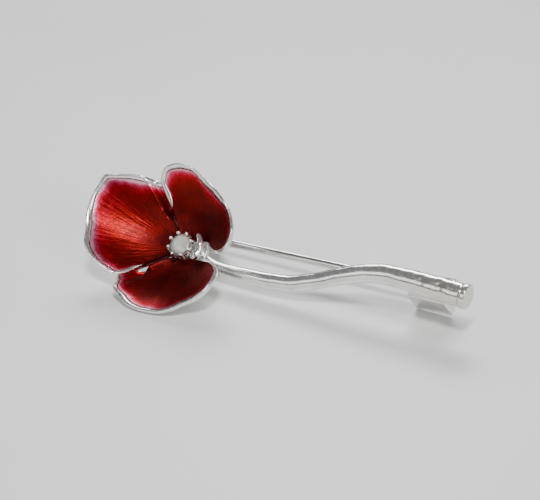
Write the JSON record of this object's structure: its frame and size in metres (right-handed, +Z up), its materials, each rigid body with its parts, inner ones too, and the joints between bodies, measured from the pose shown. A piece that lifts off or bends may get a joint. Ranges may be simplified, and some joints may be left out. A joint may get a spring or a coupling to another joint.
{
  "type": "flower brooch",
  "caption": "Poppy flower brooch in silver with red enamelled petals, a claw-set stone, a curved stem, and a hinged needle with a roller safety catch.",
  "frame": {"origin": "centre of the footprint of the bounding box, on the table that the brooch lies on", "axes": "+Z up from the table; +X along the stem from the flower to the tail; the flower faces -Y and up"},
  "size_m": [0.0472, 0.0186, 0.0132],
  "materials": {
    "silver": "polished",
    "steel_wire": "polished wire",
    "red_enamel": "glossy translucent enamel",
    "cream_stone": "faceted, milky"
  },
  "bodies": {
    "brooch": {"catch_base": "silver", "petal_right": "silver", "enamel_right": "red_enamel", "petal_left": "silver", "enamel_left": "red_enamel", "petal_lower": "silver", "enamel_lower": "red_enamel", "back_plate": "silver", "collet": "silver", "crystal": "cream_stone", "claw_1": "silver", "claw_2": "silver", "claw_3": "silver", "claw_4": "silver", "claw_5": "silver", "claw_6": "silver", "claw_7": "silver", "claw_8": "silver", "stem_collar": "silver", "stem": "silver", "hinge_bracket": "silver", "hinge_rivet": "silver"},
    "needle": {"pin_needle": "steel_wire"},
    "roller": {"catch_roller": "silver"}
  },
  "joints": [
    {"name": "needle_hinge", "type": "hinge", "parent": "brooch", "child": "needle", "pos_m": [-0.0112, 0.00747, 0.00194], "axis": [-0.0504, 0.7409, 0.6697], "range_deg": [0, 85]},
    {"name": "roller_lock", "type": "hinge", "parent": "brooch", "child": "roller", "pos_m": [0.01825, 0.00605, 0.00287], "axis": [-0.9983, 0.0481, -0.0314], "range_deg": [0, 100]}
  ]
}
